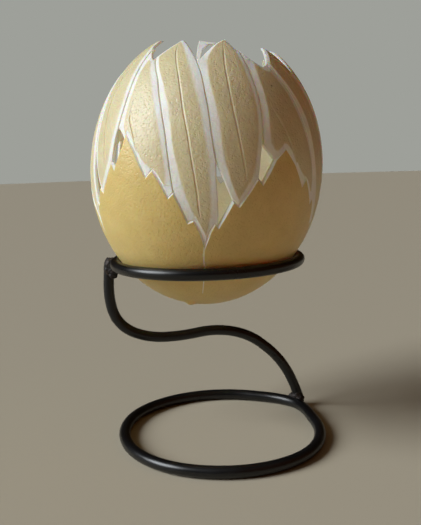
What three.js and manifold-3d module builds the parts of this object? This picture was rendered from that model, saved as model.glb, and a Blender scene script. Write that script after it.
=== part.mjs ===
// Carved ostrich eggshell, open at the top in a crown of pointed petals,
// resting in a stand of three welded steel rods: a ring for the egg, an S-shaped stem
// and a larger ring on the table.  Millimetres, +Z up, table at z = 0.
import * as THREE from 'three';
import { mergeVertices } from 'three/addons/utils/BufferGeometryUtils.js';
import Module from 'manifold-3d';

const wasm = await Module();
wasm.setup();

const clearance = 0.3; // between pieces that touch

const egg = {
  centre: [-0.2, 3.5, 147.8], // middle of the widest plane
  leanDeg: 5.4, // the crown leans towards +X
  radius: 64,
  topHeight: 77.07, // widest plane to the blunt pole, which is carved away
  bottomHeight: 73.79,
  topPower: 2.05, // 2 would be an ellipse
  bottomPower: 1.94,
  wall: 2.1,
  bodyWallExtra: 0.2, // the uncarved skin is a little thicker than the petals
};

const relief = {
  groove: 1.0, // petal edge below the skin
  heart: 0.05, // where the margins end, almost at the skin
  rib: 0.6, // engraved midrib
  overlap: 0.45, // degrees that neighbouring petals share
};

const topRing = { centre: [-1.4, 3.6, 98.7], radius: 51.8, rod: 3.1, sides: 8, steps: 36 };

const baseRing = {
  centre: [4.4, -8.5],
  radius: 56,
  rod: 3.15, // to the flats, so the ring stands on one
  sides: 8,
  steps: 44,
  // bent by hand: [degrees from +X, millimetres out of round], ends meeting at the stem
  bend: [[-50, 1.4], [9, -2.2], [41, 2.4], [70, 0], [145, 1.2], [200, -0.6], [250, 0]],
};

const stem = {
  top: [-58, 6.5], // on the table plane, under the upper end
  foot: [54, 32.6],
  rod: 3.05,
  sides: 8,
  steps: 30,
  // the bend, as [share of the way from top to foot, height]
  bend: [
    [0.003, 101.2], [0, 93], [-0.005, 84], [-0.002, 76.5], [0.01, 69.5], [0.036, 63.4],
    [0.08, 58.3], [0.143, 54.6], [0.222, 52.3], [0.31, 51.7], [0.4, 52.2], [0.49, 53.2],
    [0.575, 52.7], [0.655, 50.6], [0.73, 46.8], [0.8, 40.9], [0.862, 34], [0.916, 25.6],
    [0.957, 16.4], [0.985, 8], [1, 1.6],
  ],
};

const weld = {
  upper: { place: [-56.2, 4.6, 96.2], size: [4.6, 4.9, 6.2] },
  lower: { place: [50.9, 31, 6.4], size: [5.4, 5.4, 5] },
  lumps: 0.09,
};

// The carving repeats five times.  One repeat is drawn 77 degrees wide, as the front one
// is; the other four share what is left of the turn.
const repeats = 5;
const drawnWidth = 77;
const firstPeak = -40; // degrees, where the front repeat starts

// Top edge of the uncarved skin over one repeat: [degrees, height above the widest plane]
const skinEdge = [
  [-40, 15.5], [-33, 7], [-27, -2], [-24, 2], [-16.5, -10.5], [-14, -8], [-7, -22], [-4.6, -20.6],
  [1.2, -32], [5, -21.5], [6.8, -23.5], [12, -10.5], [15, -12.5], [22.5, 0.5], [25, -2], [30.5, 9.8],
];
const skinRows = [-71, -63, -47]; // heights of the rows between the lower pole and the carving
const skinRowsAbove = [0.5, 1]; // as shares of the way up to the edge

// Petals over one repeat.  Each row is
// [height, left edge, left margin, midrib, right margin, right edge] in degrees.
const petals = {
  long: [
    [66.2, -31, -30.5, -30, -28, -27], [62.5, -34, -31.5, -28.9, -24, -20.2],
    [55, -40, -30.6, -24, -17, -11], [47, -32.5, -26, -19.2, -12, -6.6],
    [36, -26, -20.4, -14.2, -7.6, -2.4], [22, -21.1, -16.6, -10.2, -3.9, 0.9],
    [6, -17.2, -13, -6.7, -0.8, 3.6], [-8, -14.2, -9.9, -4, 1.4, 5.6],
    [-22, -8.6, -5, -1.4, 3.6, 7], [-33, 0.9, 1, 1.1, 1.2, 1.3],
  ],
  broad: [
    [67.6, 7.2, 7.8, 8.4, 9, 9.6], [64.4, -1.4, 3, 7.4, 11.6, 15.6],
    [55, -11, -3.4, 7, 15, 20.5], [47, -6.6, -0.8, 8.1, 17.2, 22.2],
    [36, -2.4, 2.4, 9.8, 19, 23.9], [22, 0.9, 4.9, 12.5, 20, 24.4],
    [6, 3.6, 8.4, 15.4, 20.3, 23.7], [-1, 7.2, 10.6, 16.5, 20, 23.2],
    [-12.9, 13.2, 13.8, 14.4, 15, 15.6],
  ],
  side: [
    [61.6, 18.2, 18.8, 19.4, 20, 20.6], [58.4, 19.4, 22, 24, 26, 28.4],
    [55, 20.5, 24.6, 28, 32, 37], [47, 22.2, 26.6, 32, 39, 44.5],
    [36, 23.9, 28.2, 36, 45.2, 51], [17, 24.6, 30.6, 41.5, 52, 57],
    [9.8, 30.4, 38, 45.5, 53.6, 58.8], [4, 43, 46, 49.5, 55.5, 60.2],
    [-1.6, 48.4, 51, 54, 57.6, 61.2], [-11.5, 60, 60.6, 61.2, 61.8, 62.4],
  ],
};
const petalDepths = { long: 0, broad: 0.08, side: 0.16 }; // inner faces a hair apart, for clean joins

// ---- helpers

const radians = THREE.MathUtils.degToRad;

// Drawn degrees to degrees round the egg: the front repeat keeps its width.
function roundTheEgg(drawn) {
  const narrow = (360 - drawnWidth) / (repeats - 1) / drawnWidth;
  const past = drawn - firstPeak;
  if (past < 0) return firstPeak + past * narrow;
  if (past <= drawnWidth) return drawn;
  return firstPeak + drawnWidth + (past - drawnWidth) * narrow;
}

function eggRadius(height) {
  const [top, power] = height > 0 ? [egg.topHeight, egg.topPower] : [egg.bottomHeight, egg.bottomPower];
  return egg.radius * Math.sqrt(Math.max(0, 1 - (Math.abs(height) / top) ** power));
}

// A point of the shell: degrees round from the front (-Y), height, depth below the skin.
function shellPoint(degrees, height, depth) {
  const step = 0.2;
  const slope = (eggRadius(height + step) - eggRadius(height - step)) / (2 * step);
  const long = Math.hypot(1, slope);
  const radius = eggRadius(height) - depth / long;
  const angle = radians(degrees);
  return new THREE.Vector3(
    radius * Math.sin(angle), -radius * Math.cos(angle), height + (depth * slope) / long);
}

// A closed solid between an outer and an inner grid of points.  Rows run upwards, columns
// run to the right seen from outside; a ring is closed on itself across its columns.
function slabGeometry(outer, inner, ring) {
  const rows = outer.length;
  const columns = outer[0].length;
  const positions = [...outer.flat(), ...inner.flat()].flatMap((point) => point.toArray());
  const innerStart = rows * columns;
  const index = [];
  const quad = (a, b, c, d) => index.push(a, b, c, a, c, d);
  const at = (row, column) => row * columns + (column % columns);
  const cells = ring ? columns : columns - 1;
  for (let row = 0; row < rows - 1; row += 1) {
    for (let column = 0; column < cells; column += 1) {
      const corners = [at(row, column), at(row, column + 1), at(row + 1, column + 1), at(row + 1, column)];
      quad(...corners);
      quad(...corners.map((corner) => corner + innerStart).reverse());
    }
  }
  for (let column = 0; column < cells; column += 1) {
    const [low, lowNext] = [at(0, column), at(0, column + 1)];
    const [high, highNext] = [at(rows - 1, column), at(rows - 1, column + 1)];
    quad(low + innerStart, lowNext + innerStart, lowNext, low);
    quad(high, highNext, highNext + innerStart, high + innerStart);
  }
  for (let row = 0; row < rows - 1 && !ring; row += 1) {
    const [left, leftUp] = [at(row, 0), at(row + 1, 0)];
    const [right, rightUp] = [at(row, columns - 1), at(row + 1, columns - 1)];
    quad(left, leftUp, leftUp + innerStart, left + innerStart);
    quad(right + innerStart, rightUp + innerStart, rightUp, right);
  }
  const geometry = new THREE.BufferGeometry();
  geometry.setAttribute('position', new THREE.Float32BufferAttribute(positions, 3));
  geometry.setIndex(index);
  return geometry;
}

function toSolid(geometry) {
  const bare = geometry.clone();
  bare.deleteAttribute('normal');
  bare.deleteAttribute('uv');
  const merged = mergeVertices(bare, 1e-4);
  const corners = merged.index.array;
  const triangles = [];
  for (let i = 0; i < corners.length; i += 3) {
    const [a, b, c] = corners.slice(i, i + 3);
    if (a !== b && b !== c && c !== a) triangles.push(a, b, c); // those at a pole can be empty
  }
  return new wasm.Manifold(new wasm.Mesh({
    numProp: 3,
    vertProperties: Float32Array.from(merged.attributes.position.array),
    triVerts: Uint32Array.from(triangles),
  }));
}

function toGeometry(solid) {
  const mesh = solid.getMesh();
  const geometry = new THREE.BufferGeometry();
  geometry.setAttribute('position', new THREE.BufferAttribute(mesh.vertProperties, 3));
  geometry.setIndex(new THREE.BufferAttribute(mesh.triVerts, 1));
  return geometry;
}

// ---- eggshell

// The uncarved skin: from the lower pole up to the zigzag under the petals.
function skinGeometry() {
  const edge = [];
  for (let repeat = 0; repeat < repeats; repeat += 1) {
    for (const [drawn, height] of skinEdge) {
      edge.push([roundTheEgg(drawn + repeat * drawnWidth), height]);
    }
  }
  const wall = egg.wall + egg.bodyWallExtra;
  const layer = (depth) => {
    const pole = new THREE.Vector3(0, 0, depth - egg.bottomHeight);
    const rows = [edge.map(() => pole)];
    for (const height of skinRows) {
      rows.push(edge.map(([degrees]) => shellPoint(degrees, height, depth)));
    }
    for (const share of skinRowsAbove) {
      const last = skinRows.at(-1);
      rows.push(edge.map(([degrees, top]) => shellPoint(degrees, last + (top - last) * share, depth)));
    }
    return rows;
  };
  return slabGeometry(layer(0), layer(wall), true);
}

// One petal: margins bevelled down to the grooves and a heart that dips to its midrib.
function petalGeometry(rows, extraDepth, repeat) {
  const shared = relief.overlap;
  const columnsOf = ([height, left, leftMargin, rib, rightMargin, right]) => {
    return [
      [left - shared, relief.groove], [leftMargin, relief.heart], [rib, relief.rib],
      [rightMargin, relief.heart], [right + shared, relief.groove],
    ].map(([drawn, depth]) => [roundTheEgg(drawn + repeat * drawnWidth), height, depth]);
  };
  const upwards = [...rows].reverse();
  const outer = upwards.map((row) => columnsOf(row).map((column) => shellPoint(...column)));
  const inner = upwards.map((row) => columnsOf(row)
    .map(([degrees, height]) => shellPoint(degrees, height, egg.wall - extraDepth)));
  return slabGeometry(outer, inner, false);
}

function eggshellGeometry() {
  let shell = toSolid(skinGeometry());
  for (let repeat = 0; repeat < repeats; repeat += 1) {
    for (const [name, rows] of Object.entries(petals)) {
      shell = shell.add(toSolid(petalGeometry(rows, petalDepths[name], repeat)));
    }
  }
  return toGeometry(shell);
}

// ---- stand

// Section of a rod, with a flat side down; `rod` is from its middle to the flats.
function rodSection(rod, sides) {
  const points = [];
  for (let side = 0; side < sides; side += 1) {
    const angle = ((side + 0.5) / sides) * 2 * Math.PI;
    const corner = rod / Math.cos(Math.PI / sides);
    points.push(new THREE.Vector2(corner * Math.cos(angle), corner * Math.sin(angle)));
  }
  return points;
}

function ringGeometry({ radius, rod, sides, steps }, grow = 0) {
  const profile = rodSection(rod + grow, sides).map((point) => point.add(new THREE.Vector2(radius, 0)));
  profile.push(profile[0].clone());
  const geometry = new THREE.LatheGeometry(profile, steps);
  geometry.rotateX(Math.PI / 2);
  return geometry;
}

function topRingGeometry(grow) {
  return ringGeometry(topRing, grow).translate(...topRing.centre);
}

// How far the hand-bent base ring stands out of round at an angle, eased between its bends.
function outOfRound(degrees) {
  const { bend } = baseRing;
  const turn = ((degrees - bend[0][0] + 720) % 360) + bend[0][0];
  const closed = [...bend, [bend[0][0] + 360, bend[0][1]]];
  const next = closed.findIndex(([angle]) => angle > turn);
  const [from, to] = [closed[next - 1], closed[next]];
  const share = THREE.MathUtils.smoothstep(turn, from[0], to[0]);
  return from[1] + (to[1] - from[1]) * share;
}

function baseRingGeometry(grow) {
  const geometry = ringGeometry(baseRing, grow);
  const { position } = geometry.attributes;
  for (let i = 0; i < position.count; i += 1) {
    const [x, y] = [position.getX(i), position.getY(i)];
    const radius = Math.hypot(x, y);
    const moved = (radius + outOfRound(THREE.MathUtils.radToDeg(Math.atan2(y, x)))) / radius;
    position.setXY(i, x * moved, y * moved);
  }
  return geometry.translate(...baseRing.centre, baseRing.rod);
}

function stemGeometry(grow = 0) {
  const [from, to] = [new THREE.Vector3(...stem.top, 0), new THREE.Vector3(...stem.foot, 0)];
  const route = stem.bend.map(([share, height]) => from.clone().lerp(to, share).setZ(height));
  return new THREE.ExtrudeGeometry(new THREE.Shape(rodSection(stem.rod + grow, stem.sides)), {
    extrudePath: new THREE.CatmullRomCurve3(route),
    steps: stem.steps,
    bevelEnabled: false,
  });
}

// The stem's ends are filed to sit against the two rings.
function filedStemGeometry() {
  const solid = toSolid(stemGeometry())
    .subtract(toSolid(topRingGeometry(clearance)))
    .subtract(toSolid(baseRingGeometry(clearance)));
  return toGeometry(solid);
}

// A lumpy bead of weld metal, cleared of the rods that it joins.
function weldGeometry({ place, size }, ring) {
  const bead = new THREE.SphereGeometry(1, 7, 5);
  const { position } = bead.attributes;
  for (let i = 0; i < position.count; i += 1) {
    const point = new THREE.Vector3().fromBufferAttribute(position, i);
    point.multiplyScalar(1 + weld.lumps * Math.sin(5 * point.x + 3 * point.y) * Math.cos(4 * point.z));
    position.setXYZ(i, ...point.toArray());
  }
  bead.scale(...size).translate(...place);
  const solid = toSolid(bead).subtract(toSolid(ring)).subtract(toSolid(stemGeometry(clearance)));
  return toGeometry(solid);
}

// ---- the object

const eggshellFinish = new THREE.MeshStandardMaterial({ color: '#e8d9a8', roughness: 0.4, metalness: 0 });
const blackPaint = new THREE.MeshStandardMaterial({ color: '#16171a', roughness: 0.4, metalness: 0.2 });
const weldFinish = new THREE.MeshStandardMaterial({ color: '#3a3432', roughness: 0.7, metalness: 0.4 });

function named(name, geometry, material) {
  const mesh = new THREE.Mesh(geometry, material);
  mesh.name = name;
  return mesh;
}

const part = new THREE.Group();

const eggshell = named('eggshell', eggshellGeometry(), eggshellFinish);
eggshell.position.set(...egg.centre);
eggshell.rotation.y = radians(egg.leanDeg);
part.add(eggshell);

part.add(named('top_ring', topRingGeometry(), blackPaint));
part.add(named('stem', filedStemGeometry(), blackPaint));
part.add(named('base_ring', baseRingGeometry(), blackPaint));

part.add(named('upper_weld', weldGeometry(weld.upper, topRingGeometry(clearance)), weldFinish));
part.add(named('lower_weld', weldGeometry(weld.lower, baseRingGeometry(clearance)), weldFinish));

export default part;
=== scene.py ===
import math
from collections import Counter
import bmesh
import bpy
import numpy as np
from mathutils import Matrix, Vector, noise
from mathutils.geometry import delaunay_2d_cdt
from mathutils.kdtree import KDTree


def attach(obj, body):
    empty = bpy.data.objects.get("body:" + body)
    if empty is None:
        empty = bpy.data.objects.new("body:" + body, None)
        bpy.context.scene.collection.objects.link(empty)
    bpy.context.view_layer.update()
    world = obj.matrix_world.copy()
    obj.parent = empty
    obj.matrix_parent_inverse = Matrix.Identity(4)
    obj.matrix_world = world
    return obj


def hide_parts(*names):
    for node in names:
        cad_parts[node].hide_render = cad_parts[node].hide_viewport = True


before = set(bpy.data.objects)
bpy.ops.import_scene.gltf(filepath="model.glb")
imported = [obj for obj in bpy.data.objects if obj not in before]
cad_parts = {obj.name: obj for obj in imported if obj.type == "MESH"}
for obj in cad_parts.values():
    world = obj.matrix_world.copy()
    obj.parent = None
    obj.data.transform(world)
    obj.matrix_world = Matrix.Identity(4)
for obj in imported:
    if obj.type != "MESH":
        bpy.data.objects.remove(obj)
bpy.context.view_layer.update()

# Carved ostrich eggshell in a stand of three bent and welded steel rods.
# All sizes are in millimetres and turned to metres at the end of each piece.
mm = 0.001


def pick(*pieces):
    if bpy.context.object and bpy.context.object.mode != "OBJECT":
        bpy.ops.object.mode_set(mode="OBJECT")
    bpy.ops.object.select_all(action="DESELECT")
    for piece in pieces:
        piece.select_set(True)
    bpy.context.view_layer.objects.active = pieces[0]


def pickAll(piece):
    pick(piece)
    bpy.ops.object.mode_set(mode="EDIT")
    bpy.ops.mesh.select_all(action="SELECT")


def useModifier(piece, kind, **settings):
    pick(piece)
    modifier = piece.modifiers.new(kind.title(), kind)
    for setting, value in settings.items():
        setattr(modifier, setting, value)
    bpy.ops.object.modifier_apply(modifier=modifier.name)


def getPoints(piece):
    points = np.empty(len(piece.data.vertices) * 3)
    piece.data.vertices.foreach_get("co", points)
    return points.reshape(-1, 3)


def setPoints(piece, points):
    piece.data.vertices.foreach_set("co", np.asarray(points, float).ravel())
    piece.data.update()


def copyOf(piece, name):
    copied = bpy.data.objects.new(name, piece.data.copy())
    bpy.context.collection.objects.link(copied)
    return copied


def joined(pieces, name):
    pick(*pieces)
    bpy.ops.object.join()
    pieces[0].name = name
    return pieces[0]


def named(name):
    piece = bpy.context.object
    piece.name = piece.data.name = name
    return piece


def takeAway(piece, cutter, operation="DIFFERENCE"):
    useModifier(piece, "BOOLEAN", object=cutter, operation=operation, solver="MANIFOLD")
    bpy.data.objects.remove(cutter)


# Cuts all faces into triangles and drops the slivers. A face whose diagonal would repeat an edge
# first gets a point in its middle, so that the mesh stays closed.
def cleanTriangles(piece, keep):
    mesh = piece.data
    used = Counter(tuple(sorted(edge.vertices)) for edge in mesh.edges)
    diagonals = []
    for face in mesh.polygons:
        corners = list(face.vertices)
        pairs = [(a, b) for a in range(len(corners)) for b in range(a + 2, len(corners))
                 if (a, b) != (0, len(corners) - 1)]
        diagonals.append([tuple(sorted((corners[a], corners[b]))) for a, b in pairs])
        used.update(diagonals[-1])
    pick(piece)
    bpy.ops.object.mode_set(mode="EDIT")
    bpy.ops.mesh.select_mode(type="FACE")
    bpy.ops.mesh.select_all(action="DESELECT")
    bpy.ops.object.mode_set(mode="OBJECT")
    mesh.polygons.foreach_set("select", [any(used[pair] > 1 for pair in face) for face in diagonals])
    bpy.ops.object.mode_set(mode="EDIT")
    bpy.ops.mesh.poke()
    bpy.ops.mesh.select_all(action="SELECT")
    bpy.ops.mesh.quads_convert_to_tris()
    bpy.ops.mesh.select_mode(type="VERT")
    bpy.ops.object.mode_set(mode="OBJECT")
    useModifier(piece, "DECIMATE", ratio=keep)


# Closes up edges too short to see. Only two corners may neighbour both ends of an edge, or closing
# it would fold the mesh on itself, and edges that meet are left for the next round.
def closeShortEdges(piece, shortest, rounds):
    mesh = bmesh.new()
    mesh.from_mesh(piece.data)
    for _ in range(rounds):
        touched, closing = set(), []
        for edge in mesh.edges:
            if edge.calc_length() < shortest:
                ends = [{near.other_vert(end) for near in end.link_edges} for end in edge.verts]
                around = ends[0] | ends[1]
                if len(ends[0] & ends[1]) == 2 and not around & touched:
                    touched |= around
                    closing.append(edge)
        bmesh.ops.collapse(mesh, edges=closing)
    mesh.to_mesh(piece.data)
    mesh.free()


# A smooth line through drawn points, in steps of about the given length.
def smoothLine(points, step):
    ends = [2 * np.array(points[0]) - points[1], 2 * np.array(points[-1]) - points[-2]]
    knots = np.array([ends[0], *points, ends[1]], float)
    line = []
    for a, b, c, d in zip(knots, knots[1:], knots[2:], knots[3:]):
        count = max(1, round(float(np.linalg.norm(c - b)) / step))
        for share in np.arange(count) / count:
            line.append(0.5 * (2 * b + (c - a) * share + (2 * a - 5 * b + 4 * c - d) * share ** 2
                               + (3 * b - a - 3 * c + d) * share ** 3))
    return [*line, knots[-2]]


# Heights are from the widest plane, degrees run round from the front towards +X.
eggShape = {
    "centre": (-0.2, 3.5, 147.8),
    "lean": 5.4,             # degrees, the crown leans towards +X
    "radius": 64.0,
    "upper": (77.07, 2.05),  # widest plane to the pole, and how full the curve is (2 is an ellipse)
    "lower": (73.79, 1.94),
    "wall": 2.15,
    "crownWall": 1.45,       # the petals' tips are thinner
    "thinning": (30, 60),    # heights between which the wall thins
    "hollowMesh": (120, 64),  # sides and rings of the solid that hollows it
    # the solids are faceted, so the round egg is trimmed a hair: towards +X, +Y, +Z, then the other way
    "trim": (0.9965, 0.992, 1),
    "trimLow": (0.998, 1, 1),
}


def eggCurve(height):
    upper, lower = eggShape["upper"], eggShape["lower"]
    reach = np.where(height > 0, upper[0], lower[0])
    power = np.where(height > 0, upper[1], lower[1])
    share = np.clip(np.abs(height) / reach, 0, 1)
    radius = eggShape["radius"] * np.sqrt(1 - share ** power)
    outward = 2 * radius / eggShape["radius"] ** 2
    upward = power * share ** (power - 1) / reach * np.sign(height)
    return radius, outward, upward


# From degrees, height and depth under the skin to a place in the egg's own axes.
def onShell(degrees, height, depth):
    radius, outward, upward = eggCurve(height)
    size = np.hypot(outward, upward)
    radial = radius - depth * outward / size
    angle = np.radians(degrees)
    return np.stack([radial * np.sin(angle), -radial * np.cos(angle), height - depth * upward / size],
                    axis=-1)


eggPlace = Matrix.Translation(eggShape["centre"]) @ Matrix.Rotation(math.radians(eggShape["lean"]), 4, "Y")


def standUp(piece):
    piece.data.transform(Matrix.Scale(mm, 4) @ eggPlace)
    piece.data.update()


# What the egg is hollowed with: a whole egg inside its wall.
def hollowSolid(name, sides, rings):
    bpy.ops.object.select_all(action="DESELECT")
    bpy.ops.mesh.primitive_uv_sphere_add(segments=sides, ring_count=rings, radius=1)
    egg = named(name)
    points = getPoints(egg)
    level = np.clip(points[:, 2], -1, 1)
    flat = np.hypot(points[:, 0], points[:, 1])
    reach = np.where(level > 0, eggShape["upper"][0], eggShape["lower"][0])
    power = np.where(level > 0, eggShape["upper"][1], eggShape["lower"][1])
    height = np.sign(level) * reach * np.abs(level) ** (2 / power)
    degrees = np.degrees(np.arctan2(points[:, 0], -points[:, 1]))
    low, high = eggShape["thinning"]
    rise = np.clip((height - low) / (high - low), 0, 1)
    depth = eggShape["wall"] + (eggShape["crownWall"] - eggShape["wall"]) * rise * rise * (3 - 2 * rise)
    shaped = onShell(degrees, height, depth)
    poles = flat < 1e-5
    shaped[poles, :2] = 0
    setPoints(egg, shaped)
    return egg


# The carving is drawn flat over one repeat and wrapped round the egg five times.
carving = {
    "repeats": 5,
    "width": 77,          # degrees of one repeat as drawn
    "groove": 1.1,        # depth of the narrow V between two petals
    "grooveWidth": 0.4,   # to one side
    "lap": 0.12,          # how far petals run into each other below the groove
    "margin": (0.48, 0.14),  # depth beside the groove, and how much more on a left side than on a right one
    "heart": 0.05,        # the hearts are only rubbed smooth
    "chamfer": 1.15,      # width of the slanted cut along the skin's zigzag edge
    "ribLeft": 0.35,      # the midrib is one knife cut, steep on its left
    "ribRight": 0.95,
    "ribDepth": 0.42,
    "step": 1.5,          # spacing of points along the lines
    "bodyStep": 2.2,
    "bodyFoot": 37.5,     # how far below the widest plane the skin is still carved
    "fill": 2.6,          # spacing of points between them
    "apart": 0.9,         # and how near to a line they may come
    "blank": 4,           # thickness of a flat petal, more than the wall, which the hollow cuts off
    "bodyBlank": 4.4,
    "bodyRings": (17, 11),  # rings of points up to the foot and on to the edge
    # drawn degrees and the real ones: the front repeat is true, the others are narrower
    "turn": [(-40, -40), (37, 37), (114, 109), (178.5, 170.3), (184.5, 177.3), (191, 181.5),
             (268, 251), (311.3, 294), (320, 301), (332.5, 313.7), (338.5, 319.2), (345, 320)],
    # where the knife strayed: drawn degrees, height, shift up, how far it reaches
    "strays": [(334, 8, 5.4, 13), (314, -24, 5.2, 11), (181, 1, -7, 9)],
}

# Upper edge of the uncarved skin: degrees, height
skinEdge = [
    (-40, 15.5), (-33, 7.6), (-27, -2.2), (-23.8, 1.6), (-19.6, -5), (-16.1, -11), (-13.8, -8.4),
    (-10.8, -14.3), (-6.8, -22.6), (-4.3, -21.2), (-0.7, -27.6), (1.4, -33), (2.8, -27.4), (5.1, -21.8),
    (6.9, -23.7), (9, -19), (12.3, -11), (15.2, -13.2), (19, -6.4), (22.6, 0.5), (25.2, -2.1), (30.8, 9.4),
]

petals = {
    "long": {
        "outline": [
            [(1.5, -33.8), (3.1, -27.4), (5.3, -23)], [(5.3, -23), (6.9, -24.2)],
            [(6.9, -24.2), (6.2, -17), (5.4, -10.6), (4.5, -3.5), (3.8, 6.4)],
            [(3.8, 6.4), (2.6, 11.9), (1, 20), (-0.9, 30.2), (-3, 38), (-6, 47.2), (-10.6, 54.8)],
            [(-10.6, 54.8), (-13, 57.2), (-17.6, 61), (-22, 63.6), (-26.6, 65.6)],
            [(-26.6, 65.6), (-29.5, 65.8)],
            [(-29.5, 65.8), (-34.1, 61.9), (-38.4, 58), (-40.6, 55.8)],
            [(-40.6, 55.8), (-35, 50), (-30, 44), (-26, 36), (-23.2, 29.1), (-19.7, 18.8), (-17.4, 8.5),
             (-15.4, -1.7), (-14, -9)],
            [(-14, -9), (-11, -15.2), (-7.4, -22.6)], [(-7.4, -22.6), (-4.6, -22.6)],
            [(-4.6, -22.6), (-1, -28.2), (1.5, -33.8)],
        ],
        "heart": [
            [(1.3, -28.4), (2.1, -20), (1.2, -6.7), (-1, 9.6), (-3, 20), (-5.6, 29.9), (-9, 39), (-13, 46.8),
             (-17, 54), (-22.2, 59.9), (-28.2, 64)],
            [(-28.2, 64), (-32.4, 60.4), (-36.8, 55.8)],
            [(-36.8, 55.8), (-31.6, 49.6), (-25.4, 42), (-21.5, 35), (-18.8, 29.3), (-17, 22), (-14.6, 10.8),
             (-11.4, 0.7), (-8, -9.5), (-4.2, -18.2), (1.3, -28.4)],
        ],
        "rib": [(-29, 63.6), (-27.4, 60.5), (-24.8, 56.3), (-22.5, 52.9), (-20.1, 49), (-18.2, 45.5),
                (-15.2, 38), (-12.5, 29), (-9.3, 18), (-7.5, 9.5), (-5.7, 1.5), (-3.8, -8.5), (-2.5, -17),
                (-1, -22.4)],
    },
    "broad": {
        "outline": [
            [(14.9, -14), (19, -7), (23.3, 0)], [(23.3, 0), (23.7, 7.2), (24.4, 16.1)],
            [(24.4, 16.1), (24.6, 21.7), (24.6, 32.2), (23.8, 40), (22.2, 48), (20.5, 55), (18.5, 61)],
            [(18.5, 61), (14.6, 62.9), (12.2, 65.2), (9.2, 67.6)],
            [(9.2, 67.6), (6.7, 66.8), (0.6, 64.2), (-4.4, 59.9), (-8.2, 55.6)], [(-8.2, 55.6), (-10.6, 54.8)],
            [(-10.6, 54.8), (-6, 47.2), (-3, 38), (-0.9, 30.2), (1, 20), (2.6, 11.9), (3.8, 6.4)],
            [(3.8, 6.4), (7.5, -1.7), (10.1, -7.4), (12, -11)], [(12, -11), (14.9, -14)],
        ],
        "heart": [
            [(14.6, -9.8), (17.2, -4.6), (19.9, 2.8), (21.3, 15.3), (21.8, 24), (21.7, 31.9), (20.4, 40),
             (18.4, 48.5), (16, 57), (13.4, 61.4), (9.6, 64.8), (7.6, 66)],
            [(7.6, 66), (3.1, 63.9), (-0.5, 60.8), (-2.6, 57.2), (-2.9, 53.5), (-1.7, 46.9), (0.8, 39),
             (3.5, 30.5), (5.1, 24.4), (6.2, 16.3), (7.6, 9.4), (9.5, 2.1), (11.7, -4.4), (14.6, -9.8)],
        ],
        "rib": [(7.3, 65.6), (6.5, 60.8), (6.5, 54), (7.4, 47.5), (9.2, 37), (10.3, 31), (12.1, 22.9),
                (13.6, 15.6), (15, 9.1), (16.5, 2.6), (17.5, -1.6)],
    },
    "side": {
        "outline": [
            [(31.2, 8.4), (34.2, 11.6), (37, 14.4)], [(37, 14.4), (44, 6.4), (50, -3.4)], [(50, -3.4), (53, 0.6)],
            [(53, 0.6), (57.4, -6), (60.8, -12.2)], [(60.8, -12.2), (63, -9.2)],
            [(63, -9.2), (61.6, -1.7), (59.6, 8.5), (57.3, 18.8), (53.8, 29.1), (51, 36), (47, 44), (42, 50),
             (36.4, 55.8)],
            [(36.4, 55.8), (32, 54.2)], [(32, 54.2), (27.6, 55.9), (23.1, 58.4), (18.7, 61.7)],
            [(18.7, 61.7), (20.5, 55), (22.2, 48), (23.8, 40), (24.6, 32.2), (24.6, 21.7), (24.4, 16.1)],
            [(24.4, 16.1), (28, 12), (31.2, 8.4)],
        ],
        "heart": [
            [(37, 18.6), (42.5, 12.8), (47.6, 5.2), (51, 2.8), (55.6, -0.8), (58.6, -5.4)],
            [(58.6, -5.4), (58.4, 1.5), (56, 11.5), (52.6, 22), (48.2, 32), (43.4, 41.5), (36.6, 50.6)],
            [(36.6, 50.6), (31.4, 52), (27, 54)],
            [(27, 54), (26.6, 48), (28, 40), (28.7, 31), (29, 23), (29.4, 17)],
            [(29.4, 17), (32, 14), (37, 18.6)],
        ],
        "rib": [(30, 35.5), (31.7, 32.3), (33.9, 28.8), (36.6, 24.6), (38.9, 20), (41.4, 15), (44, 8.6)],
    },
}


# A splinter left standing on the front broad petal, round a small three-cornered gap.
splinter = {
    "outline": [(-10.4, 54.4), (-12.2, 61.4), (-13, 65.6), (-6.8, 65.2), (2, 65.1), (-0.7, 64),
                (-5.2, 63.9), (-5.9, 62.6), (-8.4, 60.8), (-8.5, 55.2)],
    "depth": 0.75,
    "back": 4.2,
}

# A hairline scratch that runs on below the front petal, and a lime nub near the lower pole.
scratch = {"line": [(1.4, -33.5), (1.1, -37), (1.3, -41), (2, -45.5), (2.4, -51), (2.7, -57), (3, -62)],
           "width": 1.25, "depth": 0.22}
nub = {"place": (-13.5, -70.5), "height": 2.4, "reach": 2.7}


def outlinePoints(parts, step):
    return [tuple(point) for part in parts for point in smoothLine(part, step)[:-1]]


def eased(distance, reach):
    return np.exp(-(np.asarray(distance) / reach) ** 2)


# Flat drawing to the egg: x is drawn degrees, y height, -z depth.
def wrapped(points, repeat):
    points = np.c_[points, np.zeros((len(points), 3 - points.shape[1]))]
    drawn = points[:, 0] + repeat * carving["width"]
    full = carving["repeats"] * carving["width"]
    start = carving["turn"][0][0]
    drawn = (drawn - start) % full + start
    height = points[:, 1].copy()
    for degrees, level, shift, reach in carving["strays"]:
        away = (drawn - degrees + full / 2) % full - full / 2
        height += shift * eased(np.hypot(away, points[:, 1] - level), reach)
    knots = np.array(carving["turn"])
    return onShell(np.interp(drawn, knots[:, 0], knots[:, 1]), height, -points[:, 2])


def wrap(piece, repeat):
    setPoints(piece, wrapped(getPoints(piece), repeat))


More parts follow.
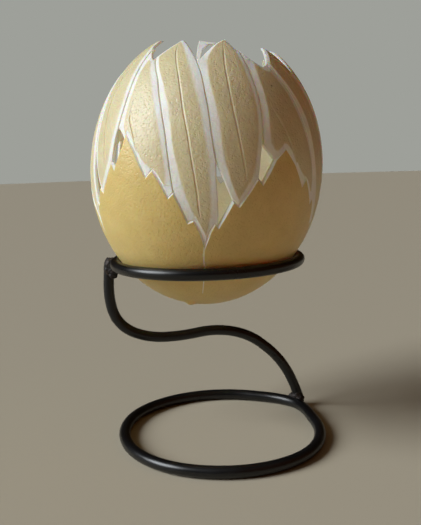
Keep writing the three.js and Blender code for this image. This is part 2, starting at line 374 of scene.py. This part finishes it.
# One petal lying flat: V cut margins round a heart that keeps the skin, and a midrib.
def flatPetal(name, drawing):
    points, depths, edges = [], [], []

    def addLine(line, depth, closed):
        first = len(points)
        points.extend(Vector(point) for point in line)
        depths.extend(depth if np.iterable(depth) else [depth] * len(line))
        numbers = list(range(first, len(points)))
        edges.extend(zip(numbers, numbers[1:] + numbers[:1] if closed else numbers[1:]))
        return numbers

    step = carving["step"]
    rim = np.array(outlinePoints(drawing["outline"], step))
    scale = np.stack([np.radians(1) * eggCurve(rim[:, 1])[0], np.ones(len(rim))], axis=1)
    arriving, leaving = (rim - np.roll(rim, 1, axis=0)) * scale, (np.roll(rim, -1, axis=0) - rim) * scale
    arriving /= np.linalg.norm(arriving, axis=1)[:, None]
    leaving /= np.linalg.norm(leaving, axis=1)[:, None]
    inwards = np.array([[0, 1], [-1, 0]])
    normals = (arriving + leaving) @ inwards
    normals /= np.linalg.norm(normals, axis=1)[:, None]
    lean = np.maximum(np.sum(normals * (leaving @ inwards), axis=1), 0.5)
    beside, onLeft = carving["margin"]
    lap = carving["lap"]
    outline = addLine(rim - normals / scale * (lap / lean)[:, None], carving["groove"] + lap, True)
    addLine(rim, carving["groove"], True)
    addLine(rim + normals / scale * (carving["grooveWidth"] / lean)[:, None],
            list(beside + onLeft * normals[:, 0]), True)
    heart = outlinePoints(drawing["heart"], step)
    addLine(heart, carving["heart"], True)
    rib = np.array(smoothLine(drawing["rib"], step))
    count = len(rib)
    taper = np.minimum(1, np.minimum(np.arange(count), np.arange(count)[::-1]) / 4)
    across = 1 / (np.radians(1) * eggCurve(rib[:, 1])[0])  # degrees in a millimetre
    left = rib - np.stack([taper * carving["ribLeft"] * across, 0 * taper], axis=1)
    right = rib + np.stack([taper * carving["ribRight"] * across, 0 * taper], axis=1)
    addLine(rib, list(carving["heart"] + carving["ribDepth"] * taper), False)
    addLine([rib[0], *left[1:-1], rib[-1]], carving["heart"], False)
    addLine([rib[0], *right[1:-1], rib[-1]], carving["heart"], False)

    # points between the lines, so that the heart follows the egg
    heartArray = np.array(heart)
    taken = np.array([tuple(point) for point in points])
    spots = []
    low, high = taken.min(axis=0), taken.max(axis=0)
    for row, y in enumerate(np.arange(low[1], high[1], carving["fill"])):
        for x in np.arange(low[0] + (row % 2) * carving["fill"] / 2, high[0], carving["fill"]):
            ahead = np.roll(heartArray, -1, axis=0)
            crosses = (heartArray[:, 1] > y) != (ahead[:, 1] > y)
            rise = np.where(crosses, ahead[:, 1] - heartArray[:, 1], 1)
            slope = np.where(crosses, (ahead[:, 0] - heartArray[:, 0]) / rise, 0)
            inside = np.sum(crosses & (x < heartArray[:, 0] + (y - heartArray[:, 1]) * slope)) % 2
            if inside and np.min(np.hypot(taken[:, 0] - x, taken[:, 1] - y)) > carving["apart"]:
                spots.append(Vector((x, y)))
    points.extend(spots)
    depths.extend([carving["heart"]] * len(spots))

    flat, _, triangles, sources, _, _ = delaunay_2d_cdt(points, edges, [outline], 1, 1e-5)
    given = np.array([tuple(point) for point in points])
    heights = [-min(depths[source] for source in group) if group else
               -depths[int(np.argmin(np.hypot(*(given - tuple(spot)).T)))] for spot, group in zip(flat, sources)]
    mesh = bpy.data.meshes.new(name)
    mesh.from_pydata([(x, y, z) for (x, y), z in zip(flat, heights)], [], triangles)
    petal = bpy.data.objects.new(name, mesh)
    bpy.context.collection.objects.link(petal)
    surface = len(mesh.vertices)
    pickAll(petal)
    bpy.ops.mesh.extrude_region_move(TRANSFORM_OT_translate={"value": (0, 0, -carving["blank"])})
    bpy.ops.mesh.select_all(action="SELECT")
    bpy.ops.mesh.normals_make_consistent(inside=False)
    bpy.ops.object.mode_set(mode="OBJECT")
    points = getPoints(petal)
    points[points[:, 2] < 0.5 - carving["blank"], 2] = -carving["blank"]  # the back is flat
    setPoints(petal, points)
    print(name, "petal", surface, "points on its face")
    return petal


# The skin below the petals, up to a slanted cut wall along its zigzag edge.
def bodyBlank():
    full = carving["repeats"] * carving["width"]
    corners = np.array([(x + repeat * carving["width"], y)
                        for repeat in range(carving["repeats"]) for x, y in skinEdge], float)
    across = np.radians(1) * eggCurve(corners[:, 1])[0]
    before, after = np.roll(corners, 1, axis=0), np.roll(corners, -1, axis=0)
    before[0, 0] -= full
    after[-1, 0] += full
    scale = np.stack([across, np.ones(len(across))], axis=1)
    arriving, leaving = (corners - before) * scale, (after - corners) * scale
    arriving /= np.linalg.norm(arriving, axis=1)[:, None]
    leaving /= np.linalg.norm(leaving, axis=1)[:, None]
    down = np.array([[0, -1], [1, 0]])  # turns a direction to the skin's side of the edge
    normals = (arriving + leaving) @ down
    normals /= np.linalg.norm(normals, axis=1)[:, None]
    lean = np.sum(normals * (leaving @ down), axis=1)
    lower = corners + normals / scale * (carving["chamfer"] / np.maximum(lean, 0.3))[:, None]
    lowerAfter = np.roll(lower, -1, axis=0)
    lowerAfter[-1, 0] += full

    edge, skin = [], []
    for start, end, lowStart, lowEnd in zip(corners, after, lower, lowerAfter):
        count = max(1, round(float(np.linalg.norm(end - start)) / carving["bodyStep"]))
        for share in np.arange(count) / count:
            edge.append(start + (end - start) * share)
            skin.append(lowStart + (lowEnd - lowStart) * share)
    edge, skin = np.array(edge), np.array(skin)

    # rings of points from the pole up to the edge, over it, and back down inside
    reach, power = eggShape["lower"]
    foot = carving["bodyFoot"]
    lowest = np.degrees(np.arcsin((foot / reach) ** (power / 2)))
    below, above = carving["bodyRings"]
    levels = -reach * np.sin(np.radians(np.linspace(90, lowest, below))) ** (2 / power)
    skirt = np.stack([edge[:, 0], np.full(len(edge), -foot)], axis=1)
    rings = [np.stack([edge[:, 0], np.full(len(edge), level)], axis=1) for level in levels]
    rings += [skirt + (skin - skirt) * share for share in np.arange(1, above + 1) / above]
    outer = [np.c_[ring, np.zeros(len(ring))] for ring in rings]
    inner = [np.c_[ring, np.full(len(ring), -carving["bodyBlank"])] for ring in rings[:-1]]
    wall = [np.c_[edge, np.full(len(edge), -carving["groove"])], np.c_[edge, np.full(len(edge), -carving["bodyBlank"])]]
    rows = [*outer, *wall, *inner[::-1]]
    count = len(edge)
    faces = [(row * count + column, row * count + (column + 1) % count,
              (row + 1) * count + (column + 1) % count, (row + 1) * count + column)
             for row in range(len(rows) - 1) for column in range(count)]
    mesh = bpy.data.meshes.new("carvedEggshell")
    mesh.from_pydata(np.concatenate(rows), [], faces)
    body = bpy.data.objects.new("carvedEggshell", mesh)
    bpy.context.collection.objects.link(body)
    wrap(body, 0)
    pickAll(body)
    bpy.ops.mesh.remove_doubles(threshold=0.0005)
    bpy.ops.mesh.normals_make_consistent(inside=False)
    bpy.ops.object.mode_set(mode="OBJECT")
    return body


def fromPoints(name, points, faces):
    mesh = bpy.data.meshes.new(name)
    mesh.from_pydata(points, [], faces)
    piece = bpy.data.objects.new(name, mesh)
    bpy.context.collection.objects.link(piece)
    return piece


def makeSplinter():
    count = len(splinter["outline"])
    points = [(x, y, -depth) for depth in (splinter["depth"], splinter["back"]) for x, y in splinter["outline"]]
    sides = [(at, (at + 1) % count, (at + 1) % count + count, at + count) for at in range(count)]
    piece = fromPoints("splinter", points, [tuple(range(count)), tuple(range(count, 2 * count)), *sides])
    pickAll(piece)
    bpy.ops.mesh.quads_convert_to_tris(ngon_method="CLIP")
    bpy.ops.mesh.subdivide(number_cuts=2)
    bpy.ops.mesh.normals_make_consistent(inside=False)
    bpy.ops.object.mode_set(mode="OBJECT")
    wrap(piece, 0)
    return piece


def makeScratch():
    line = np.array(smoothLine(scratch["line"], 1.2))
    thin = np.linspace(1, 0.4, len(line))
    half = scratch["width"] / 2 * thin / (np.radians(1) * eggCurve(line[:, 1])[0])
    rows = [(-1, 0.4), (1, 0.4), (0.7, -scratch["depth"]), (-0.7, -scratch["depth"])]
    points = [(line[at, 0] + side * half[at], line[at, 1], z) for at in range(len(line)) for side, z in rows]
    faces = [(4 * at + side, 4 * at + (side + 1) % 4, 4 * at + 4 + (side + 1) % 4, 4 * at + 4 + side)
             for at in range(len(line) - 1) for side in range(4)]
    last = 4 * len(line)
    piece = fromPoints("scratch", points, [*faces, (0, 1, 2, 3), (last - 4, last - 3, last - 2, last - 1)])
    wrap(piece, 0)
    pickAll(piece)
    bpy.ops.mesh.normals_make_consistent(inside=False)
    bpy.ops.object.mode_set(mode="OBJECT")
    return piece


finish = {
    "keep": 0.96,       # share of the triangles that stay
    "shortest": 0.004,  # edges below this are closed up
    "rounds": 8,
    "smoothed": 11,     # degrees, sharper edges stay crisp
    "ribStep": 0.4,     # spacing of points along a midrib
    "ribReach": 0.75,   # how far from that line the cut still counts as midrib
    "ribDeepest": 0.7,
    "ribTone": 0.11,    # depth that its colour is read at, so that the midribs stay cream
}


def makeEggshell():
    shell = bodyBlank()
    ribs = []
    for kind, drawing in petals.items():
        flat = flatPetal(kind, drawing)
        ring = []
        for repeat in range(carving["repeats"]):
            petal = copyOf(flat, f"{kind}{repeat}")
            wrap(petal, repeat)
            ring.append(petal)
            ribs.append(wrapped(np.array(smoothLine(drawing["rib"], finish["ribStep"])), repeat))
        bpy.data.objects.remove(flat)
        whole = joined(ring, kind)
        pickAll(whole)
        bpy.ops.mesh.normals_make_consistent(inside=False)
        bpy.ops.object.mode_set(mode="OBJECT")
        takeAway(shell, whole, "UNION")
        print(kind, "petals joined on,", len(shell.data.polygons), "faces")
    takeAway(shell, makeSplinter(), "UNION")
    takeAway(shell, makeScratch())
    takeAway(shell, hollowSolid("hollow", *eggShape["hollowMesh"]))
    cleanTriangles(shell, finish["keep"])
    closeShortEdges(shell, finish["shortest"], finish["rounds"])

    # how deep each point lies under the skin, for the finish
    points = getPoints(shell)
    radial, height = np.hypot(points[:, 0], points[:, 1]), points[:, 2]
    upper, lower = eggShape["upper"], eggShape["lower"]
    reach = np.where(height > 0, upper[0], lower[0])
    power = np.where(height > 0, upper[1], lower[1])
    share = np.abs(height) / reach
    level = 1 - (radial / eggShape["radius"]) ** 2 - share ** power
    slope = np.hypot(2 * radial / eggShape["radius"] ** 2, power * share ** (power - 1) / reach)
    depths = np.maximum(0, level / slope)
    cuts = np.concatenate(ribs)
    tree = KDTree(len(cuts))
    for number, cut in enumerate(cuts):
        tree.insert(cut, number)
    tree.balance()
    nearRib = np.array([tree.find(point)[2] < finish["ribReach"] for point in points])
    inRib = nearRib & (depths < finish["ribDeepest"])
    depths[inRib] = np.minimum(depths[inRib], finish["ribTone"])
    shell.data.attributes.new("depth", "FLOAT", "POINT").data.foreach_set("value", depths)
    bump = onShell(*nub["place"], 0)
    near = nub["height"] * eased(np.linalg.norm(points - bump, axis=1), nub["reach"])
    setPoints(shell, points * (1 + near / np.linalg.norm(points, axis=1))[:, None])
    standUp(shell)
    points = getPoints(shell)
    middle = np.array(eggShape["centre"]) * mm
    trim = np.where(points > middle, eggShape["trim"], eggShape["trimLow"])
    setPoints(shell, middle + (points - middle) * trim)
    pick(shell)
    bpy.ops.object.shade_smooth_by_angle(angle=math.radians(finish["smoothed"]))
    print("eggshell", len(shell.data.polygons), "faces")
    return shell


# The stand: two rings, the stem bent between them and a weld bead at each of its ends.
ringTop = {"centre": (-1.4, 3.6, 98.7), "radius": 51.8, "rod": 3.1}

ringBase = {
    "centre": (4.4, -8.46, 3.15),
    "radius": 56.0,
    "rod": 3.15,
    # bent by hand: degrees from +X, millimetres out of round
    "bend": [(-50, 1.4), (9, -2.2), (41, 2.4), (70, 0), (145, 1.2), (200, -0.6), (250, 0), (310, 1.4)],
}

stemRod = {
    "top": (-58, 6.5),
    "foot": (54, 32.6),
    "rod": 3.05,
    "round": 2.6,          # how far from each end the rod is domed
    "meshAround": 6,
    "meshAlong": 12,
    # share of the way from top to foot, height
    "bend": [(0.002, 98.4), (0, 93), (-0.005, 84), (-0.002, 76.5), (0.01, 69.5), (0.036, 63.4),
             (0.08, 58.3), (0.143, 54.6), (0.222, 52.3), (0.31, 51.7), (0.4, 52.2), (0.49, 53.2),
             (0.575, 52.7), (0.655, 50.6), (0.73, 46.8), (0.8, 40.9), (0.862, 34), (0.916, 25.6),
             (0.957, 16.4), (0.985, 8), (0.998, 3.2)],
}

welds = {
    # puddles of metal: place and radius
    "upper": {"beads": [(-56.2, 4.4, 97.6, 3.9), (-56.6, 4.6, 94.8, 3.7), (-54.6, 2.8, 95, 2.9),
                        (-55.2, 3.8, 92, 2.6), (-57.6, 6, 98.4, 2.8), (-53.2, 2.2, 98.2, 2.6)],
              "grain": 0.3},
    "lower": {"beads": [(51.4, 31, 6, 3.5), (53.4, 29.6, 5.2, 2.9), (49.4, 32.6, 5.6, 2.6),
                        (52, 31.2, 8, 2.4)],
              "grain": 0.3},
}


ringMesh = {"along": 160, "around": 28}

weldMesh = {
    "voxel": 0.32,
    "smoothing": 0.8,
    "passes": 5,
    "lumps": 0.55,      # coarse lumps to a millimetre, then fine ones and their share
    "grains": 1.4,
    "grainShare": 0.6,
    "swell": 1.6,
}


def rodRing(name, shape, bend=None):
    bpy.ops.object.select_all(action="DESELECT")
    bpy.ops.mesh.primitive_torus_add(major_segments=ringMesh["along"], minor_segments=ringMesh["around"],
                                     major_radius=shape["radius"], minor_radius=shape["rod"])
    ring = named(name)
    points = getPoints(ring)
    if bend:
        angles, amounts = zip(*bend)
        turn = (np.degrees(np.arctan2(points[:, 1], points[:, 0])) - angles[0]) % 360 + angles[0]
        cell = np.clip(np.searchsorted(angles, turn, side="right") - 1, 0, len(angles) - 2)
        angles, amounts = np.array(angles), np.array(amounts)
        share = (turn - angles[cell]) / (angles[cell + 1] - angles[cell])
        share = share * share * (3 - 2 * share)
        out = amounts[cell] + (amounts[cell + 1] - amounts[cell]) * share
        radius = np.hypot(points[:, 0], points[:, 1])
        points[:, :2] *= ((radius + out) / radius)[:, None]
    setPoints(ring, (points + shape["centre"]) * mm)
    bpy.ops.object.shade_smooth()
    return ring


def rodStem(name):
    top, foot = Vector((*stemRod["top"], 0)), Vector((*stemRod["foot"], 0))
    route = [top.lerp(foot, share) + Vector((0, 0, height)) for share, height in stemRod["bend"]]
    bpy.ops.object.select_all(action="DESELECT")
    bpy.ops.curve.primitive_bezier_curve_add(enter_editmode=False)
    curve = bpy.context.object.data
    spline = curve.splines[0]
    spline.bezier_points.add(len(route) - len(spline.bezier_points))
    for point, place in zip(spline.bezier_points, route):
        point.co = place
        point.handle_left_type = point.handle_right_type = "AUTO"
    curve.bevel_depth = stemRod["rod"]
    curve.bevel_resolution = stemRod["meshAround"]
    curve.resolution_u = stemRod["meshAlong"]
    curve.use_fill_caps = True
    bpy.context.object.matrix_world = Matrix.Identity(4)
    bpy.ops.object.convert(target="MESH")
    rod = named(name)
    pickAll(rod)
    bpy.ops.mesh.remove_doubles(threshold=0.001)
    bpy.ops.object.mode_set(mode="OBJECT")
    # the cut ends are ground round
    points = getPoints(rod)
    for end, inwards in ((route[0], route[1]), (route[-1], route[-2])):
        end, along = np.array(end), np.array((inwards - end).normalized())
        back = (points - end) @ along
        near = (back < stemRod["round"]) & (np.linalg.norm(points - end, axis=1) < 3 * stemRod["rod"])
        axis = end + back[:, None] * along
        slim = np.sqrt(np.clip(1 - (1 - np.clip(back, 0, None) / stemRod["round"]) ** 2, 0.02, 1))
        points = np.where(near[:, None], axis + (points - axis) * slim[:, None], points)
    setPoints(rod, points * mm)
    pick(rod)
    bpy.ops.object.shade_smooth()
    return rod


# Weld metal: a few puddles run together, then roughened.
def weldBead(name, shape):
    puddles = []
    for x, y, z, radius in shape["beads"]:
        bpy.ops.object.select_all(action="DESELECT")
        bpy.ops.mesh.primitive_ico_sphere_add(subdivisions=4, radius=radius, location=(x, y, z))
        bpy.ops.object.transform_apply(location=True, rotation=True, scale=True)
        puddles.append(bpy.context.object)
    bead = joined(puddles, name)
    useModifier(bead, "REMESH", mode="VOXEL", voxel_size=weldMesh["voxel"])
    useModifier(bead, "SMOOTH", factor=weldMesh["smoothing"], iterations=weldMesh["passes"])
    points = getPoints(bead)
    normals = np.empty(len(points) * 3)
    bead.data.vertices.foreach_get("normal", normals)
    lumps = [noise.noise(Vector(point) * weldMesh["lumps"])
             + weldMesh["grainShare"] * noise.noise(Vector(point) * weldMesh["grains"]) for point in points]
    points += normals.reshape(-1, 3) * (shape["grain"] * np.array(lumps) * weldMesh["swell"])[:, None]
    setPoints(bead, points * mm)
    pick(bead)
    bpy.ops.object.shade_smooth()
    return bead


def linear(colour):
    channels = [int(colour[place:place + 2], 16) / 255 for place in (1, 3, 5)]
    return (*(c / 12.92 if c <= 0.04045 else ((c + 0.055) / 1.055) ** 2.4 for c in channels), 1)


def newMaterial(name):
    material = bpy.data.materials.new(name)
    material.use_nodes = True
    tree = material.node_tree
    return material, tree, tree.nodes["Principled BSDF"]


def addNode(tree, kind, links=None, **settings):
    node = tree.nodes.new("ShaderNode" + kind)
    for setting, value in settings.items():
        if setting.startswith("in_"):
            key = setting[3:].replace("_", " ")
            node.inputs[int(key) if key.isdigit() else key].default_value = value
        else:
            setattr(node, setting, value)
    for socket, source in (links or {}).items():
        tree.links.new(source, node.inputs[socket])
    return node


def rampOf(node, stops):
    ramp = node.color_ramp
    while len(ramp.elements) < len(stops):
        ramp.elements.new(0.5)
    for element, (place, colour) in zip(ramp.elements, stops):
        element.position = place
        element.color = linear(colour) if isinstance(colour, str) else (colour, colour, colour, 1)
    return node.outputs["Color"]


# Ostrich eggshell: the uncarved skin is glossy cream with fine pores, the petals' hearts are
# rubbed paler, the ground margins are chalky white calcite, and the inside is matt ivory.
def eggshellMaterial():
    look = {"pores": 1.3, "peel": 1.7, "grain": 0.4, "skinRoughness": 0.38, "cutRoughness": 0.6,
            "blemish": (33.4, 44.4), "blemishSize": 0.7, "inside": (1.2, 1.42),
            # by depth in millimetres: skin, rubbed heart, chalky cut
            "tones": [(0.0, "#e4cd83"), (0.04, "#e4ce86"), (0.06, "#e2d9ae"), (0.1, "#e4dbb8"),
                      (0.22, "#f6f5f0"), (1.0, "#f7f5ef")],
            "stain": "#b8a06a", "blemishTone": "#4a3216", "insideTone": "#faf3e0",
            "dents": 0.65, "scatter": 0.75, "scatterColour": (1.0, 0.55, 0.22), "scatterReach": 0.003}
    material, tree, shader = newMaterial("ostrich eggshell")
    place = addNode(tree, "TexCoord").outputs["Object"]
    depth = addNode(tree, "Attribute", attribute_name="depth").outputs["Fac"]
    blotch = addNode(tree, "TexNoise", {"Vector": place}, in_Scale=1000 / 9, in_Detail=3.0)
    edgeNoise = addNode(tree, "TexNoise", {"Vector": place}, in_Scale=1000 / 1.5, in_Detail=2.0)
    ragged = addNode(tree, "Math", {0: edgeNoise.outputs["Fac"], 2: depth}, operation="MULTIPLY_ADD", in_1=0.05)
    tone = rampOf(addNode(tree, "ValToRGB", {"Fac": ragged.outputs[0]}), look["tones"])
    pores = addNode(tree, "TexVoronoi", {"Vector": place}, in_Scale=1000 / look["pores"])
    pits = addNode(tree, "MapRange", {0: pores.outputs["Distance"]}, in_1=0.05, in_2=0.4, in_3=1.0, in_4=0.0)
    onSkin = addNode(tree, "MapRange", {0: depth}, in_1=0.06, in_2=0.14, in_3=1.0, in_4=0.0)
    spots = addNode(tree, "Math", {0: pits.outputs[0], 1: onSkin.outputs[0]}, operation="MULTIPLY")
    stains = addNode(tree, "MapRange", {0: blotch.outputs["Fac"]}, in_1=0.3, in_2=0.75, in_3=0.0, in_4=0.16)
    darker = addNode(tree, "Math", {0: spots.outputs[0], 2: stains.outputs[0]}, operation="MULTIPLY_ADD", in_1=0.07)
    skin = addNode(tree, "Mix", {0: darker.outputs[0], 6: tone}, data_type="RGBA", blend_type="MULTIPLY")
    skin.inputs[7].default_value = linear(look["stain"])
    spot = Matrix.Scale(mm, 4) @ eggPlace @ Vector(onShell(*look["blemish"], 0))
    away = addNode(tree, "VectorMath", {0: place}, operation="DISTANCE", in_1=spot)
    mark = addNode(tree, "MapRange", {0: away.outputs["Value"]}, in_1=look["blemishSize"] * mm * 0.4,
                   in_2=look["blemishSize"] * mm, in_3=0.7, in_4=0.0)
    marked = addNode(tree, "Mix", {0: mark.outputs[0], 6: skin.outputs[2]}, data_type="RGBA")
    marked.inputs[7].default_value = linear(look["blemishTone"])
    within = addNode(tree, "MapRange", {0: depth}, in_1=look["inside"][0], in_2=look["inside"][1])
    whole = addNode(tree, "Mix", {0: within.outputs[0], 6: marked.outputs[2]}, data_type="RGBA")
    whole.inputs[7].default_value = linear(look["insideTone"])
    tree.links.new(whole.outputs[2], shader.inputs["Base Color"])

    peel = addNode(tree, "TexNoise", {"Vector": place}, in_Scale=1000 / look["peel"], in_Detail=2.0)
    dents = addNode(tree, "Math", {0: spots.outputs[0], 2: peel.outputs["Fac"]}, operation="MULTIPLY_ADD", in_1=-0.5)
    coarse = addNode(tree, "Bump", {"Height": dents.outputs[0]}, in_Strength=look["dents"], in_Distance=0.0004)
    grain = addNode(tree, "TexNoise", {"Vector": place}, in_Scale=1000 / look["grain"], in_Detail=2.0)
    fine = addNode(tree, "Bump", {"Height": grain.outputs["Fac"], "Normal": coarse.outputs["Normal"]},
                   in_Strength=0.25, in_Distance=0.0001)
    tree.links.new(fine.outputs["Normal"], shader.inputs["Normal"])
    rough = addNode(tree, "MapRange", {0: ragged.outputs[0]}, in_1=0.06, in_2=0.16,
                    in_3=look["skinRoughness"], in_4=look["cutRoughness"])
    tree.links.new(rough.outputs[0], shader.inputs["Roughness"])
    shader.inputs["IOR"].default_value = 1.55
    shader.inputs["Subsurface Weight"].default_value = look["scatter"]
    shader.inputs["Subsurface Radius"].default_value = look["scatterColour"]
    shader.inputs["Subsurface Scale"].default_value = look["scatterReach"]
    return material


# Mild steel rod under a satin black paint: smooth, with a faint orange peel.
def paintMaterial():
    look = {"tones": [(0.3, "#07080a"), (0.75, "#0e0f12")], "wear": 0.02, "peel": 0.0016,
            "roughness": (0.26, 0.38)}
    material, tree, shader = newMaterial("satin black painted steel")
    place = addNode(tree, "TexCoord").outputs["Object"]
    wear = addNode(tree, "TexNoise", {"Vector": place}, in_Scale=1 / look["wear"], in_Detail=5.0)
    colour = rampOf(addNode(tree, "ValToRGB", {"Fac": wear.outputs["Fac"]}), look["tones"])
    tree.links.new(colour, shader.inputs["Base Color"])
    rough = addNode(tree, "MapRange", {0: wear.outputs["Fac"]}, in_1=0.3, in_2=0.7,
                    in_3=look["roughness"][0], in_4=look["roughness"][1])
    tree.links.new(rough.outputs[0], shader.inputs["Roughness"])
    peel = addNode(tree, "TexNoise", {"Vector": place}, in_Scale=1 / look["peel"], in_Detail=2.0)
    bump = addNode(tree, "Bump", {"Height": peel.outputs["Fac"]}, in_Strength=0.15, in_Distance=0.0002)
    tree.links.new(bump.outputs["Normal"], shader.inputs["Normal"])
    return material


# Weld metal under the same paint, thinly covered: brown-grey, rough, a little of the metal showing.
def weldMaterial():
    look = {"tones": [(0.35, "#141314"), (0.55, "#2c2625"), (0.72, "#46382f")], "patches": 0.003,
            "roughness": 0.55, "metal": 0.3}
    material, tree, shader = newMaterial("painted weld metal")
    place = addNode(tree, "TexCoord").outputs["Object"]
    patches = addNode(tree, "TexNoise", {"Vector": place}, in_Scale=1 / look["patches"], in_Detail=4.0)
    colour = rampOf(addNode(tree, "ValToRGB", {"Fac": patches.outputs["Fac"]}), look["tones"])
    tree.links.new(colour, shader.inputs["Base Color"])
    bump = addNode(tree, "Bump", {"Height": patches.outputs["Fac"]}, in_Strength=0.5, in_Distance=0.0004)
    tree.links.new(bump.outputs["Normal"], shader.inputs["Normal"])
    shader.inputs["Roughness"].default_value = look["roughness"]
    shader.inputs["Metallic"].default_value = look["metal"]
    return material


def dress(piece, material, node):
    piece.data.materials.clear()
    piece.data.materials.append(material)
    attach(piece, "root")
    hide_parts(node)


# Place in millimetres, angles in degrees, focal length and frame in pixels.
view = {"place": (0.5, -379.96, 154.66), "down": 8.56, "turn": 0.02, "roll": -1.87, "focal": 682.04,
        "frame": (421, 525)}


def makeCamera():
    yaw, pitch, roll = (math.radians(view[key]) for key in ("turn", "down", "roll"))
    camera = bpy.data.cameras.new("camera")
    camera.sensor_fit = "AUTO"
    camera.sensor_width = 36
    camera.lens = view["focal"] * 36 / max(view["frame"])
    camera.clip_start = 0.01
    viewer = bpy.data.objects.new("camera", camera)
    bpy.context.collection.objects.link(viewer)
    turned = (Matrix.Rotation(yaw, 4, "Z") @ Matrix.Rotation(math.pi / 2 - pitch, 4, "X")
              @ Matrix.Rotation(roll, 4, "Z"))
    viewer.matrix_world = Matrix.Translation(Vector(view["place"]) * mm) @ turned
    bpy.context.scene.camera = viewer


# A wide window far to the left, the ceiling, the warm bounce from the other side of the room,
# and inside the egg the daylight that its thin shell lets through.
lights = {
    "window": {"kind": "SUN", "towards": (0.9, 0.23, -0.58), "soft": 34, "power": 3.5, "colour": "#f6fbff"},
    "ceiling": {"kind": "SUN", "towards": (0.12, 0.3, -1), "soft": 90, "power": 0.1, "colour": "#fff0d8"},
    "room": {"kind": "SUN", "towards": (-0.75, 0.5, -0.12), "soft": 100, "power": 0.16, "colour": "#ff8420"},
    "within": {"kind": "POINT", "place": (0, 4, 150), "soft": 22, "power": 0.011, "colour": "#fff8ee"},
}


def addLight(name, shape):
    lamp = bpy.data.lights.new(name, shape["kind"])
    lamp.energy = shape["power"]
    lamp.color = linear(shape["colour"])[:3]
    light = bpy.data.objects.new(name, lamp)
    bpy.context.collection.objects.link(light)
    if shape["kind"] == "SUN":
        lamp.angle = math.radians(shape["soft"])
        light.rotation_euler = Vector(shape["towards"]).to_track_quat("-Z", "Y").to_euler()
    else:
        lamp.shadow_soft_size = shape["soft"] * mm
        light.location = Vector(shape["place"]) * mm
        light.visible_camera = light.visible_glossy = False


# The table is pale matt paper: it catches the soft shadow and gives no shine.
def makeStage():
    bpy.ops.object.select_all(action="DESELECT")
    bpy.ops.mesh.primitive_circle_add(vertices=96, radius=6, fill_type="NGON", location=(0, 0, -0.0003))
    floor = named("floor")
    material, tree, shader = newMaterial("matt pale paper")
    shader.inputs["Base Color"].default_value = linear("#b9b09c")
    shader.inputs["Roughness"].default_value = 0.8
    floor.data.materials.append(material)
    world = bpy.data.worlds.new("room")
    bpy.context.scene.world = world
    world.use_nodes = True
    tree = world.node_tree
    background = tree.nodes["Background"]
    seen = addNode(tree, "LightPath").outputs["Is Camera Ray"]
    glow = addNode(tree, "Mix", {0: seen}, data_type="RGBA")
    glow.inputs[6].default_value = (0.02, 0.011, 0.003, 1)  # what the room gives back
    glow.inputs[7].default_value = linear("#9ea09a")
    tree.links.new(glow.outputs[2], background.inputs["Color"])
    bpy.context.scene.view_settings.view_transform = "Standard"


makeCamera()
makeStage()
for name, shape in lights.items():
    addLight(name, shape)
print("camera, floor and lights placed")

shell = makeEggshell()
dress(shell, eggshellMaterial(), "eggshell")

paint = paintMaterial()
dress(rodRing("ringForTheEgg", ringTop), paint, "top_ring")
dress(rodRing("ringOnTheTable", ringBase, ringBase["bend"]), paint, "base_ring")
dress(rodStem("bentStem"), paint, "stem")
weldMetal = weldMaterial()
dress(weldBead("weldAtTheTop", welds["upper"]), weldMetal, "upper_weld")
dress(weldBead("weldAtTheFoot", welds["lower"]), weldMetal, "lower_weld")
print("stand made")
